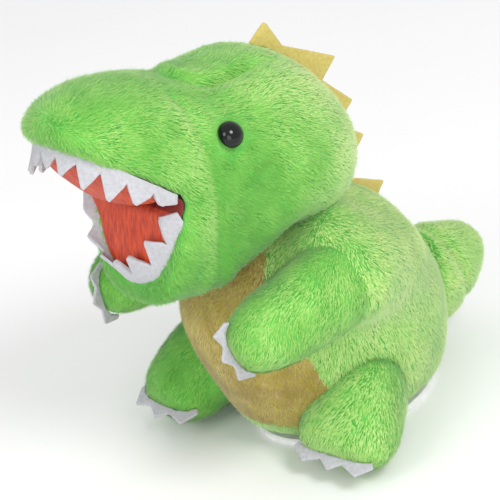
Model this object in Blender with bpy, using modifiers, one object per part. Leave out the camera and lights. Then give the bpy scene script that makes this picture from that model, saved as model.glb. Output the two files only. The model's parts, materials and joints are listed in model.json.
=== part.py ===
"""Stuffed dinosaur: a sitting plush toy on an oval plate, with a wide-open hinged mouth.

Metres, +Z up. The dinosaur looks along -Y and its left side is +X. The origin is the
centre of the base plate's underside, on the floor.
"""

import math

import bmesh
import bpy
from mathutils import Matrix, Vector
from mathutils.bvhtree import BVHTree

MM = 0.001
GAP = 0.4 * MM            # clearance between neighbouring pieces
WALL = 2.0 * MM           # thickness of plush, pile included
FILL = WALL + 2 * GAP     # how far the stuffing lies under the outer surface
RING = 10                 # points round the cage of the body, head and jaw
LIMB_RING = 8             # the same for an arm, a leg or the tail

BASE_HALF_X = 26 * MM
BASE_HALF_Y = 36 * MM
BASE_THICK = 2.4 * MM

# Joint axes all run left to right, so each is a point in the YZ plane.
NECK = Vector((0, -14, 80)) * MM
JAW_HINGE = Vector((0, -74, 112)) * MM
JAW_HUB = 4 * MM          # radius of the padded fold that the jaw turns on
CORNER_ANGLE = 25         # degrees above level where the lips meet on that fold
THROAT_ANGLE = -124       # the way that the seam between head and jaw runs from the fold
SHOULDER = Vector((30, -24, 66)) * MM
HIP = Vector((32, -12, 22)) * MM
TAIL_ROOT = Vector((0, 32, 26)) * MM

HEAD_SWING = (-8, 8)
JAW_SWING = (-35, 5)
ARM_SWING = (-6, 18)
LEG_SWING = (-8, 10)
TAIL_SWING = (-10, 14)

# Horizontal sections of the body, in mm: height, half width, front, back.
BODY_SECTIONS = (
    (2.8, 26, -36, 36),
    (9, 31, -42, 39),
    (22, 35, -48, 41),
    (38, 37, -56, 40),
    (54, 36, -61, 34),
    (68, 32, -57, 25),
    (79, 25, -46, 12),
    (86, 13, -32, -2),
)

# Sections of the head along its curved middle line, from the neck to the snout, in mm and
# degrees: middle y and z, slope, half width, and reach to the back or top and to the throat.
HEAD_SECTIONS = (
    (-17, 84, 85, 18, 17, 16),
    (-17, 90, 80, 27, 24, 19),
    (-21, 100, 62, 32, 30, 22.5),
    (-28, 107, 38, 34, 31.5, 28),
    (-38, 112, 19, 33, 33, 34),
    (-49, 115, 13, 31, 27, 35),
    (-60, 121, 18, 29, 20.5, 36),
    (-75, 129.5, 20, 26, 19, 28),
    (-90, 136, 22, 22, 16, 19),
    (-102, 139.5, 24, 17, 11.5, 14),
    (-107, 141, 24, 9, 6.5, 6.5),
)
JOWL = 3.0                # squareness of the head's lower half; 2 is an oval
LINING = 0.8 * MM
LIP_HALF_WIDTH = 24 * MM
LIP_LENGTH = 33 * MM      # from the mouth's corner to the front of the lip
PALATE_SLOPE = 41         # degrees that the upper lip rises towards the front
JAW_SLOPE = -79           # the same for the lower lip: the mouth hangs wide open

# Sections of the lower jaw from its corner to the chin, in mm: distance along the lip, half
# width, reach in front of the lip's plane, which is cut away, and behind it.
JAW_SECTIONS = (
    (-1, 25.5, 6, 32),
    (10, 26, 6, 35),
    (20, 24, 6, 36),
    (29, 20.5, 5, 33),
    (35, 15, 4, 25),
    (38, 8, 3, 16),
)
JAW_LIP_LENGTH = 32 * MM
JAW_LIP_HALF_WIDTH = 20.5 * MM
JAW_SQUARENESS = 2.5

# Limbs from root to tip, in mm: x, y, z, half width, half height.
ARM_SECTIONS = {
    "left": ((34, -22, 70, 14, 14), (37, -36, 69, 14.5, 15), (35, -51, 66, 13, 13.5),
             (30, -64, 61.5, 11.5, 12), (27.5, -69.5, 59.5, 7, 7.5)),
    "right": ((-33, -22, 67, 14, 14), (-36, -36, 67, 14.5, 14.5), (-36, -50, 65, 13, 13),
              (-34.5, -64, 63.5, 11.5, 12), (-33.5, -71.5, 62.5, 7, 7.5)),
}
LEG_SECTIONS = {
    "left": ((27, -8, 24, 11, 14), (30, -17, 22, 12.5, 18.6), (33.5, -26, 17, 16, 16.2),
             (35, -35, 13, 19, 12.6), (36, -41.5, 10.6, 15.5, 8)),
    "right": ((-30, -8, 24.6, 13, 15), (-34, -17, 21.5, 16, 18.7), (-35, -32, 17.5, 17, 16.2),
              (-35, -44, 13.3, 16.5, 12.5), (-35, -53, 11.1, 11.5, 8)),
}
TAIL_SECTIONS = ((0, 24, 29, 17, 21), (0, 36, 29, 17, 20), (0, 48, 28.5, 15.5, 18.5),
                 (0, 59, 29.5, 12.5, 15), (0, 68, 32, 8, 10), (0, 71.5, 34, 4.5, 5.5))

# Spikes of the crest in mm, as (y, z) of the lower front, the tip and the lower back.
HEAD_SPIKES = (
    ((-22.5, 140.5), (-15.5, 145), (-9.5, 135)),
    ((-9.5, 135), (13, 123.5), (6, 117.5)),
    ((6, 117.5), (18.5, 106), (11, 100)),
    ((11, 100), (22, 92), (13, 84)),
)
BACK_SPIKES = (
    ((14, 79), (29, 72), (22, 64)),
)
HEAD_CREST_ROOTS = ((2, 86), (-4, 100), (-8, 118), (-22.5, 134))   # inside the head
BACK_CREST_ROOTS = ((14, 62), (8, 74))                           # inside the body
CREST_HALF_THICK = 0.8 * MM

COLOURS = {
    "green": (0.27, 0.62, 0.09, 1),
    "beige": (0.56, 0.45, 0.20, 1),
    "white_felt": (0.78, 0.79, 0.84, 1),
    "yellow_felt": (0.72, 0.58, 0.20, 1),
    "orange": (0.66, 0.10, 0.03, 1),
    "stuffing": (0.85, 0.85, 0.82, 1),
    "black": (0.01, 0.012, 0.01, 1),
    "white_plastic": (0.80, 0.80, 0.80, 1),
    "pellets": (0.55, 0.55, 0.58, 1),
}


def clear_scene():
    for obj in list(bpy.data.objects):
        bpy.data.objects.remove(obj, do_unlink=True)


def new_collection(name):
    collection = bpy.data.collections.new(name)
    bpy.context.scene.collection.children.link(collection)
    return collection


def move_to(obj, collection):
    for old in list(obj.users_collection):
        old.objects.unlink(obj)
    collection.objects.link(obj)


def material(name):
    found = bpy.data.materials.get(name)
    if found:
        return found
    made = bpy.data.materials.new(name)
    made.use_nodes = True
    shader = made.node_tree.nodes["Principled BSDF"]
    shader.inputs["Base Color"].default_value = COLOURS[name]
    shader.inputs["Roughness"].default_value = 0.1 if name == "black" else 0.9
    return made


def add_object(name, mesh, slot=None, collection=None):
    obj = bpy.data.objects.new(name, mesh)
    (collection or PARTS).objects.link(obj)
    if slot:
        mesh.materials.append(material(slot))
    else:
        obj.hide_render = True
        obj.display_type = "WIRE"
    return obj


def show(obj, slot):
    """Turns an object made as a cutter into a piece."""
    move_to(obj, PARTS)
    obj.hide_render = False
    obj.display_type = "TEXTURED"
    obj.data.materials.append(material(slot))


def mesh_from(verts, faces, name):
    shape = bmesh.new()
    points = [shape.verts.new(v) for v in verts]
    for face in faces:
        shape.faces.new([points[i] for i in face])
    bmesh.ops.recalc_face_normals(shape, faces=shape.faces)
    mesh = bpy.data.meshes.new(name)
    shape.to_mesh(mesh)
    shape.free()
    return mesh


def bulge(value, squareness):
    return math.copysign(abs(value) ** (2 / squareness), value)


def ring(centre, side, up, half_width, above, below, count=RING, squareness=2.0):
    """One section of a soft form. Its lower half has its own height and squareness."""
    swell = 1 / (2 / 3 + math.cos(2 * math.pi / count) / 3)   # subdividing shrinks a ring
    points = []
    for i in range(count):
        angle = 2 * math.pi * i / count
        across, rise = math.cos(angle), math.sin(angle)
        height = above
        if rise < 0:
            across, rise = bulge(across, squareness), bulge(rise, squareness)
            height = below
        points.append(centre + side * (half_width * swell * across) + up * (height * swell * rise))
    return points


def loft(rings, close_start=True, close_end=True):
    """Vertices and faces of a skin over the rings, each end closed by a fan if asked."""
    count = len(rings[0])
    verts = [point for points in rings for point in points]
    faces = []
    for row in range(len(rings) - 1):
        for i in range(count):
            a, b = row * count + i, row * count + (i + 1) % count
            faces.append((a, b, b + count, a + count))
    for wanted, row in ((close_start, 0), (close_end, len(rings) - 1)):
        if wanted:
            verts.append(sum(rings[row], Vector()) / count)
            for i in range(count):
                faces.append((row * count + i, row * count + (i + 1) % count, len(verts) - 1))
    return verts, faces


def baked(obj):
    """The object's mesh with its modifiers applied."""
    graph = bpy.context.evaluated_depsgraph_get()
    mesh = bpy.data.meshes.new_from_object(obj.evaluated_get(graph))
    mesh.transform(obj.matrix_world)
    bpy.data.objects.remove(obj)
    return mesh


def smooth_form(rings, close_start=True, close_end=True):
    """A mesh of the soft form: the cage with one subdivision."""
    verts, faces = loft(rings, close_start, close_end)
    obj = add_object("form", mesh_from(verts, faces, "form"))
    subdivision = obj.modifiers.new("Subdivision", "SUBSURF")
    subdivision.levels = subdivision.render_levels = 1
    bpy.context.view_layer.update()
    return baked(obj)


def body_rings(grow=0.0):
    """The body's sections, grown or shrunk all round."""
    rings = []
    for height, half_width, front, back in BODY_SECTIONS:
        middle = (front + back) / 2
        depth = (back - front) / 2
        rings.append(
            ring(
                Vector((0, middle, height)) * MM,
                Vector((1, 0, 0)),
                Vector((0, 1, 0)),
                half_width * MM + grow,
                depth * MM + grow,
                depth * MM + grow,
            )
        )
    shift = Vector((0, 0, grow))
    rings[-1] = [point + shift for point in rings[-1]]
    return rings


def head_rings(grow=0.0):
    rings = []
    last = len(HEAD_SECTIONS) - 1
    for index, (y, z, slope, half_width, above, below) in enumerate(HEAD_SECTIONS):
        lean = math.radians(slope)
        along = Vector((0, -math.cos(lean), math.sin(lean)))
        up = Vector((0, math.sin(lean), math.cos(lean)))
        end = -1 if index == 0 else 1 if index == last else 0
        rings.append(
            ring(
                Vector((0, y, z)) * MM + along * (end * grow),
                Vector((1, 0, 0)),
                up,
                half_width * MM + grow,
                above * MM + grow,
                below * MM + grow,
                squareness=JOWL,
            )
        )
    return rings


def limb_rings(sections, grow=0.0):
    """Sections of a limb in mm: x, y, z, half width, half height. Each faces its neighbours."""
    middles = [Vector(section[:3]) * MM for section in sections]
    rings = []
    for index, (_, _, _, half_width, half_height) in enumerate(sections):
        before = middles[max(index - 1, 0)]
        after = middles[min(index + 1, len(middles) - 1)]
        along = (after - before).normalized()
        side = Vector((0, 0, 1)).cross(along)
        side = side.normalized() if side.length > 0.2 else Vector((1, 0, 0))
        up = along.cross(side).normalized()
        end = -1 if index == 0 else 1 if index == len(sections) - 1 else 0
        rings.append(
            ring(
                middles[index] + along * (end * grow),
                side,
                up,
                max(half_width * MM + grow, 0.5 * MM),
                max(half_height * MM + grow, 0.5 * MM),
                max(half_height * MM + grow, 0.5 * MM),
                LIMB_RING,
            )
        )
    return rings


def prism(name, outline, low, high):
    """A flat outline in the YZ plane, in metres, drawn out along X."""
    count = len(outline)
    verts = [Vector((low, y, z)) for y, z in outline] + [Vector((high, y, z)) for y, z in outline]
    faces = [tuple(range(count)), tuple(range(count, 2 * count))]
    faces += [(i, (i + 1) % count, count + (i + 1) % count, count + i) for i in range(count)]
    return add_object(name, mesh_from(verts, faces, name), collection=CUTTERS)


def cutter_copy(name, mesh, matrix=None):
    mesh = mesh.copy()
    if matrix:
        mesh.transform(matrix)
    return add_object(name, mesh, collection=CUTTERS)


def boolean(obj, cutter, operation="DIFFERENCE"):
    modifier = obj.modifiers.new(cutter.name, "BOOLEAN")
    modifier.operation = operation
    # The swung copies of a neighbour nearly coincide, which the exact solver can't sort out.
    modifier.solver = "MANIFOLD"
    modifier.object = cutter


def swing(pivot, degrees):
    """Turning about the left-right axis through a point."""
    return (
        Matrix.Translation(pivot)
        @ Matrix.Rotation(math.radians(degrees), 4, "X")
        @ Matrix.Translation(-pivot)
    )


def sweep_cutters(name, mesh, pivot, limits, steps=3):
    """Copies of a fixed neighbour as the moving piece sees it over its travel."""
    low, high = limits
    angles = [low + (high - low) * i / (steps - 1) for i in range(steps)] + [0]
    return [
        cutter_copy(f"{name}_{index}", mesh, swing(pivot, -angle))
        for index, angle in enumerate(sorted(set(angles)))
    ]


def heading(degrees):
    """The direction at this angle above level, where 0 looks forwards and 180 backwards."""
    angle = math.radians(degrees)
    return Vector((0, -math.cos(angle), math.sin(angle)))


def lip_frame(slope):
    """Where the lips meet on the jaw's hub, the way a lip runs, and the way square to it."""
    return JAW_HINGE + heading(CORNER_ANGLE) * JAW_HUB, heading(slope), heading(slope + 90)


def mouth_outline(hub_radius, palate_drop):
    """The space of the mouth and jaw, round the hub and under the palate, from the side."""
    corner, along, upward = lip_frame(PALATE_SLOPE)
    down = -upward * palate_drop
    inner_corner = JAW_HINGE + heading(CORNER_ANGLE) * hub_radius
    points = [corner + along * 90 * MM + down, inner_corner + down]
    start, end = CORNER_ANGLE, THROAT_ANGLE + 90
    steps = 6
    for step in range(1, steps + 1):
        points.append(JAW_HINGE + heading(start + (end - start) * step / steps) * hub_radius)
    points += [points[-1] + heading(THROAT_ANGLE) * 80 * MM, Vector((0, -180, 20)) * MM]
    return [(point.y, point.z) for point in points]


def hub(name, radius):
    """The fold that the jaw turns on, as a cutter along X."""
    bpy.ops.mesh.primitive_cylinder_add(vertices=24, radius=radius, depth=90 * MM)
    obj = bpy.context.object
    obj.name = name
    obj.data.transform(Matrix.Translation(JAW_HINGE) @ Matrix.Rotation(math.pi / 2, 4, "Y"))
    move_to(obj, CUTTERS)
    obj.hide_render = True
    obj.display_type = "WIRE"
    return obj


def half_space(name, point, normal, depth=80 * MM):
    """A slab of the given depth on the side that the normal points to, across the YZ plane."""
    side = Vector((0, -normal.z, normal.y))
    corners = (
        point - side * 120 * MM,
        point + side * 120 * MM,
        point + side * 120 * MM + normal * depth,
        point - side * 120 * MM + normal * depth,
    )
    return prism(name, [(corner.y, corner.z) for corner in corners], -60 * MM, 60 * MM)


def jaw_rings(grow=0.0):
    corner, along, upward = lip_frame(JAW_SLOPE)
    rings = []
    last = len(JAW_SECTIONS) - 1
    for index, (distance, half_width, front, behind) in enumerate(JAW_SECTIONS):
        end = 1 if index == last else 0
        rings.append(
            ring(
                corner + along * (distance * MM + end * grow),
                Vector((1, 0, 0)),
                upward,
                half_width * MM + grow,
                front * MM - grow,
                behind * MM + grow,
                squareness=JAW_SQUARENESS,
            )
        )
    return rings


def zigzag_strip(name, slot, roots, out, down, heights, thickness):
    """A felt strip along the roots: each has its own height, so the lower edge zig-zags."""
    rings = []
    for root, outward, downward, height in zip(roots, out, down, heights):
        rings.append(
            [
                root,
                root + outward * thickness,
                root + outward * thickness + downward * height,
                root + downward * height,
            ]
        )
    verts = [point for corners in rings for point in corners]
    faces = [(3, 2, 1, 0), tuple(4 * (len(rings) - 1) + i for i in range(4))]
    for row in range(len(rings) - 1):
        for i in range(4):
            a, b = 4 * row + i, 4 * row + (i + 1) % 4
            faces.append((a, b, b + 4, a + 4))
    return add_object(name, mesh_from(verts, faces, name), slot)


def tooth_strip(name, slope, lip_length, half_width, count, tallest, lean_out, spread):
    """Teeth round a lip, over this many degrees of its oval to each side of the front."""
    corner, along, upward = lip_frame(slope)
    inward = -upward if slope > 0 else upward
    roots, out, down, heights = [], [], [], []
    points = 2 * count
    for index in range(points + 1):
        turn = math.radians(spread * (2 * index / points - 1))
        x = half_width * math.sin(turn)
        reach = lip_length * math.cos(turn)
        outward = (
            Vector((math.sin(turn) / half_width, 0, 0)) + along * (math.cos(turn) / lip_length)
        ).normalized()
        roots.append(corner + Vector((x, 0, 0)) + along * reach + inward * GAP)
        out.append(outward)
        down.append((inward + outward * lean_out).normalized())
        share = 0.62 + 0.38 * math.cos(turn) if index % 2 else 0
        heights.append(tallest * share if index % 2 else 2.2 * MM)
    return zigzag_strip(name, "white_felt", roots, out, down, heights, 1.1 * MM)


def crest(name, spikes, roots, cutters):
    """Upright felt spikes on a shared band, cut to stand on the seam of what carries them."""
    outline = [spikes[0][0]]
    for _, tip, back in spikes:
        outline += [tip, back]
    outline = [(y * MM, z * MM) for y, z in outline + list(roots)]
    obj = prism(name, outline, -CREST_HALF_THICK, CREST_HALF_THICK)
    show(obj, "yellow_felt")
    for cutter in cutters:
        boolean(obj, cutter)
    return obj


def soft_shell(name, slot, outer, inner, cutters):
    """A plush skin: the outer form, hollowed, then trimmed by its neighbours."""
    obj = add_object(name, outer, slot)
    for cutter in [cutter_copy(name + "_hollow", inner)] + cutters:
        boolean(obj, cutter)
    return obj


def filling(name, mesh, cutters, slot="stuffing"):
    obj = add_object(name, mesh, slot)
    for cutter in cutters:
        boolean(obj, cutter)
    return obj


def opened(rings, reach):
    """The rings with the first one moved out of the form, so that a hollow breaks through it."""
    push = sum(rings[0], Vector()) - sum(rings[1], Vector())
    push = push.normalized() * reach
    return [[point + push for point in rings[0]]] + rings[1:]


def make_base():
    bpy.ops.mesh.primitive_cylinder_add(vertices=40, radius=1, depth=BASE_THICK)
    obj = bpy.context.object
    obj.name = "base_plate"
    obj.data.transform(Matrix.Diagonal((BASE_HALF_X, BASE_HALF_Y, 1, 1)))
    obj.data.transform(Matrix.Translation((0, 0, BASE_THICK / 2)))
    move_to(obj, PARTS)
    obj.data.materials.append(material("white_plastic"))
    bevel = obj.modifiers.new("Rounded rim", "BEVEL")
    bevel.width = 0.6 * MM
    bevel.segments = 1
    bevel.limit_method = "ANGLE"
    bevel.angle_limit = math.radians(40)


def belly_outline(grow):
    """The beige panel's shape as seen from the front, in metres."""
    widths = ((12.8, 20), (17, 26), (27, 29), (42, 29), (56, 25), (67, 20.5), (76, 16.5), (92, 8))
    right = [((width * MM + grow), height * MM) for height, width in widths]
    right[0] = (right[0][0], right[0][1] - grow)
    return right + [(-x, z) for x, z in reversed(right)]


def front_prism(name, outline, near, far):
    count = len(outline)
    verts = [Vector((x, near, z)) for x, z in outline] + [Vector((x, far, z)) for x, z in outline]
    faces = [tuple(range(count)), tuple(range(count, 2 * count))]
    faces += [(i, (i + 1) % count, count + (i + 1) % count, count + i) for i in range(count)]
    return add_object(name, mesh_from(verts, faces, name), collection=CUTTERS)


def make_body():
    outer = smooth_form(body_rings())
    inner = smooth_form(opened(body_rings(-WALL), 4 * MM))
    front = (-90 * MM, -12 * MM)
    around_panel = front_prism("panel_opening", belly_outline(GAP / 2), *front)
    panel = front_prism("panel_outline", belly_outline(-GAP / 2), *front)
    soft_shell("body_skin", "green", outer.copy(), inner.copy(), [around_panel])
    belly = soft_shell("belly_panel", "beige", outer.copy(), inner.copy(), [])
    boolean(belly, panel, "INTERSECT")
    pocket = bag_mesh(GAP, 0)
    filling("body_stuffing", smooth_form(body_rings(-FILL)), [cutter_copy("bag_pocket", pocket)])
    add_object("weight_bag", bag_mesh(0, 3.2), "pellets")
    seat = cutter_copy("back_crest_seat", smooth_form(body_rings(GAP)))
    crest("back_crest", BACK_SPIKES, BACK_CREST_ROOTS, [seat])


def bag_mesh(grow, floor):
    """A flat bag of pellets, or the pocket for it, which starts lower."""
    sections = ((floor, 19, 27), (7, 21.5, 30), (13, 20, 28), (17, 12, 18))
    rings = []
    for index, (z, half_x, half_y) in enumerate(sections):
        middle = Vector((0, 0, z)) * MM + Vector((0, 0, grow if index == 3 else 0))
        half_x, half_y = half_x * MM + grow, half_y * MM + grow
        rings.append(ring(middle, Vector((1, 0, 0)), Vector((0, 1, 0)), half_x, half_y, half_y))
    return smooth_form(rings)


def head_form(grow=0.0):
    return smooth_form(head_rings(grow))


def make_head():
    body_grown = smooth_form(body_rings(GAP))
    neck = sweep_cutters("neck_clearance", body_grown, NECK, HEAD_SWING)
    mouth = prism("mouth", mouth_outline(JAW_HUB, 0), -60 * MM, 60 * MM)
    hollow_mouth = prism(
        "mouth_inside", mouth_outline(JAW_HUB - WALL, 6 * MM), -60 * MM, 60 * MM
    )
    inner = add_object("head_hollow", smooth_form(opened(head_rings(-WALL), 6 * MM)), None, CUTTERS)
    boolean(inner, hollow_mouth)
    skin = add_object("head_skin", head_form(), "green")
    boolean(skin, inner)
    boolean(skin, mouth)
    for cutter in neck + eye_holes(1.6 * MM, 6 * MM):
        boolean(skin, cutter)
    filled_mouth = prism(
        "mouth_filled", mouth_outline(JAW_HUB - WALL - GAP, -(LINING + 2 * GAP)), -60 * MM, 60 * MM
    )
    stuffing = smooth_form(opened(head_rings(-FILL), 6 * MM))
    filling("head_stuffing", stuffing, [filled_mouth] + neck + eye_holes(5.2 * MM, 7.2 * MM))
    lining = lining_slab("palate_lining", PALATE_SLOPE, 1)
    boolean(lining, cutter_copy("palate_edge", head_form(-FILL)), "INTERSECT")
    tooth_strip("upper_teeth", PALATE_SLOPE, LIP_LENGTH, LIP_HALF_WIDTH, 11, 11 * MM, 0.12, 76)
    seat = cutter_copy("head_crest_seat", head_form(GAP))
    crest("head_crest", HEAD_SPIKES, HEAD_CREST_ROOTS, [seat] + neck)


EYE_AT = Vector((60, -64, 128.4)) * MM   # a point beside the left eye, level with it


def eye_frame(side):
    """Where the surface of the head lies at the eye, with Z pointing out of it."""
    start = Vector((EYE_AT.x * side, EYE_AT.y, EYE_AT.z))
    place, facing = surface_point(head_form(), start, Vector((-side, 0.15, 0)))
    return Matrix.Translation(place) @ facing.to_track_quat("Z", "Y").to_matrix().to_4x4()


def surface_point(mesh, start, direction):
    """The point of the mesh that a ray meets, and the way out of it there."""
    shape = bmesh.new()
    shape.from_mesh(mesh)
    place, normal, _, _ = BVHTree.FromBMesh(shape).ray_cast(start, direction.normalized())
    shape.free()
    return place, normal


def turned(name, profile, matrix, segments=16):
    """A closed solid of revolution from (radius, height) points that start and end on the axis."""
    verts, faces = [], []
    rows = profile[1:-1]
    for radius, height in rows:
        for i in range(segments):
            angle = 2 * math.pi * i / segments
            verts.append(Vector((radius * math.cos(angle), radius * math.sin(angle), height)))
    for row in range(len(rows) - 1):
        for i in range(segments):
            a, b = row * segments + i, row * segments + (i + 1) % segments
            faces.append((a, b, b + segments, a + segments))
    for height, row in ((profile[0][1], 0), (profile[-1][1], len(rows) - 1)):
        verts.append(Vector((0, 0, height)))
        for i in range(segments):
            faces.append((row * segments + i, row * segments + (i + 1) % segments, len(verts) - 1))
    mesh = mesh_from(verts, faces, name)
    mesh.transform(matrix)
    return mesh


def eye_holes(radius, depth):
    """A round hole on each side of the head for the eye's shank."""
    holes = []
    for side in (1, -1):
        profile = ((0, -depth), (radius, -depth), (radius, 3 * MM), (0, 3 * MM))
        name = f"eye_hole_{side}_{radius:.4f}"
        holes.append(add_object(name, turned(name, profile, eye_frame(side)), None, CUTTERS))
    return holes


def make_eyes():
    dome, shank = 3.9 * MM, 1.2 * MM
    for side, word in ((1, "left"), (-1, "right")):
        profile = [(0, -6.6 * MM), (shank, -6.6 * MM), (shank, 0.5 * MM), (dome, 0.5 * MM)]
        profile += [
            (dome * math.cos(math.radians(a)), 1.0 * MM + 3.2 * MM * math.sin(math.radians(a)))
            for a in range(0, 90, 22)
        ]
        profile.append((0, 4.2 * MM))
        add_object(f"eye_{word}", turned("eye", profile, eye_frame(side)), "black")
        inner, outer, low, high = 1.6 * MM, 4.4 * MM, -4.9 * MM, -3.7 * MM
        washer = []
        segments = 16
        for radius, height in ((inner, low), (outer, low), (outer, high), (inner, high)):
            for i in range(segments):
                angle = 2 * math.pi * i / segments
                washer.append(Vector((radius * math.cos(angle), radius * math.sin(angle), height)))
        faces = []
        for row in range(4):
            for i in range(segments):
                a, b = row * segments + i, row * segments + (i + 1) % segments
                c, d = ((row + 1) % 4) * segments + i, ((row + 1) % 4) * segments + (i + 1) % segments
                faces.append((a, b, d, c))
        mesh = mesh_from(washer, faces, "washer")
        mesh.transform(eye_frame(side))
        add_object(f"eye_washer_{word}", mesh, "white_plastic")


def lining_slab(name, slope, side):
    """The cloth that closes a lip, level with its edge, wider than it has to be."""
    corner, along, upward = lip_frame(slope)
    start, end = corner + along * 4 * MM, corner + along * 70 * MM
    thickness = upward * (LINING * side)
    corners = (start, end, end + thickness, start + thickness)
    obj = prism(name, [(point.y, point.z) for point in corners], -50 * MM, 50 * MM)
    show(obj, "orange")
    return obj


def behind_jaw(name, inset):
    """The hub and the space behind it, which belong to the head at every angle of the jaw."""
    throat = THROAT_ANGLE + JAW_SWING[1]
    start = JAW_HINGE + heading(throat + 90) * (JAW_HUB + inset)
    return [
        hub(f"hub_{name}", JAW_HUB + inset),
        half_space(f"throat_{name}", start, heading(throat - 90)),
    ]


def chest_cutters():
    """The body as the jaw sees it over the travel of the head and its own."""
    body_grown = smooth_form(body_rings(GAP))
    cutters = []
    for nod, gape in ((0, 0), (0, JAW_SWING[1]), (HEAD_SWING[1], 0), (HEAD_SWING[1], JAW_SWING[1])):
        matrix = swing(JAW_HINGE, -gape) @ swing(NECK, -nod)
        cutters.append(cutter_copy(f"chest_{nod}_{gape}", body_grown, matrix))
    return cutters


def make_jaw():
    corner, along, upward = lip_frame(JAW_SLOPE)
    # A jaw's rings open towards the mouth, so the plane of the lip cuts them there.
    mouth_side = half_space("jaw_mouth", corner, upward)
    chest = chest_cutters()
    inner = add_object("jaw_hollow", smooth_form(jaw_rings(-WALL)), None, CUTTERS)
    for cutter in behind_jaw("inside", WALL + GAP):
        boolean(inner, cutter)
    skin = add_object("jaw_skin", smooth_form(jaw_rings()), "green")
    for cutter in [inner, mouth_side] + behind_jaw("outside", GAP) + chest:
        boolean(skin, cutter)
    filled_top = half_space("jaw_filled", corner - upward * (LINING + 2 * GAP), upward)
    stuffing = smooth_form(jaw_rings(-FILL))
    filling("jaw_stuffing", stuffing, [filled_top] + behind_jaw("filled", WALL + 2 * GAP) + chest)
    lining = lining_slab("mouth_lining", JAW_SLOPE, -1)
    boolean(lining, cutter_copy("lining_edge", stuffing), "INTERSECT")
    for cutter in behind_jaw("lining", WALL + 2 * GAP):
        boolean(lining, cutter)
    tooth_strip("lower_teeth", JAW_SLOPE, JAW_LIP_LENGTH, JAW_LIP_HALF_WIDTH, 7, 7 * MM, 0.0, 68)


def make_limb(kind, word, sections, pivot, limits, body_grown):
    name = f"{kind}_{word}" if word else kind
    cutters = sweep_cutters(name + "_clearance", body_grown, pivot, limits)
    outer = smooth_form(limb_rings(sections))
    inner = smooth_form(opened(limb_rings(sections, -WALL), 8 * MM))
    soft_shell(name + "_skin", "green", outer, inner, cutters)
    filling(name + "_stuffing", smooth_form(opened(limb_rings(sections, -FILL), 8 * MM)), cutters)


def make_claws(kind, word, sections, droop, spread, tallest):
    """A felt fringe in the seam round the tip of a limb, with three flared claws."""
    mesh = smooth_form(limb_rings(sections))
    tip, before = Vector(sections[-1][:3]) * MM, Vector(sections[-2][:3]) * MM
    forward = (tip - before).normalized()
    across = Vector((0, 0, 1)).cross(forward).normalized()
    if kind == "arm":
        across = across.cross(forward)
    middle = before - forward * 4 * MM
    down = Vector((0, 0, -droop))
    roots, fall, heights = [], [], []
    for index in range(7):
        turn = math.radians(spread * (index / 3 - 1))
        ray = across * math.sin(turn) + forward * math.cos(turn)
        place, _ = surface_point(mesh, middle + ray * 60 * MM, -ray)
        roots.append(place + ray * GAP * 1.5)
        fall.append((ray + forward * 0.5 + down).normalized())
        heights.append(tallest if index % 2 else tallest * 0.4)
    normal = across.cross(forward)
    thickness = 1.1 * MM
    roots = [root - normal * thickness / 2 for root in roots]
    name = f"{kind}_claws_{word}"
    strip = zigzag_strip(name, "white_felt", roots, [normal] * 7, fall, heights, thickness)
    boolean(strip, cutter_copy(name + "_seat", smooth_form(limb_rings(sections, GAP))))
    return strip


def make_limbs():
    body_grown = smooth_form(body_rings(GAP + 0.3 * MM))
    for word, side in (("left", 1), ("right", -1)):
        shoulder = Vector((SHOULDER.x * side, SHOULDER.y, SHOULDER.z))
        hip = Vector((HIP.x * side, HIP.y, HIP.z))
        make_limb("arm", word, ARM_SECTIONS[word], shoulder, ARM_SWING, body_grown)
        make_limb("leg", word, LEG_SECTIONS[word], hip, LEG_SWING, body_grown)
        make_claws("arm", word, ARM_SECTIONS[word], 0.1, 56, 4.2 * MM)
        make_claws("leg", word, LEG_SECTIONS[word], 0.5, 56, 5 * MM)
    make_limb("tail", "", TAIL_SECTIONS, TAIL_ROOT, TAIL_SWING, body_grown)


def hang(pivot_name, pivot, names):
    """Puts moving pieces under an empty on their joint's axis, where they are."""
    empty = bpy.data.objects.new(pivot_name, None)
    empty.location = pivot
    PARTS.objects.link(empty)
    bpy.context.view_layer.update()
    for name in names:
        obj = bpy.data.objects[name]
        obj.parent = empty
        obj.matrix_parent_inverse = empty.matrix_world.inverted()
    return empty


def hang_moving_pieces():
    head = hang(
        "head_pivot",
        NECK,
        ("head_skin", "head_stuffing", "palate_lining", "upper_teeth", "head_crest",
         "eye_left", "eye_right", "eye_washer_left", "eye_washer_right"),
    )
    jaw = hang("jaw_pivot", JAW_HINGE, ("jaw_skin", "jaw_stuffing", "mouth_lining", "lower_teeth"))
    jaw.parent = head
    jaw.matrix_parent_inverse = head.matrix_world.inverted()
    for word, side in (("left", 1), ("right", -1)):
        for kind, pivot in (("arm", SHOULDER), ("leg", HIP)):
            names = (f"{kind}_{word}_skin", f"{kind}_{word}_stuffing", f"{kind}_claws_{word}")
            hang(f"{kind}_pivot_{word}", Vector((pivot.x * side, pivot.y, pivot.z)), names)
    hang("tail_pivot", TAIL_ROOT, ("tail_skin", "tail_stuffing"))


clear_scene()
CUTTERS = new_collection("cutters")
PARTS = new_collection("stuffed_dinosaur")
CUTTERS.hide_render = True
make_base()
make_body()
make_head()
make_eyes()
make_jaw()
make_limbs()
hang_moving_pieces()
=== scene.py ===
"""Looks of the stuffed dinosaur: plush skins with strands of fur, felt points and a satin mouth."""

import json
import math

import bmesh
import bpy
import numpy as np
from mathutils import Matrix, Vector, noise
from mathutils.bvhtree import BVHTree

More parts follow.
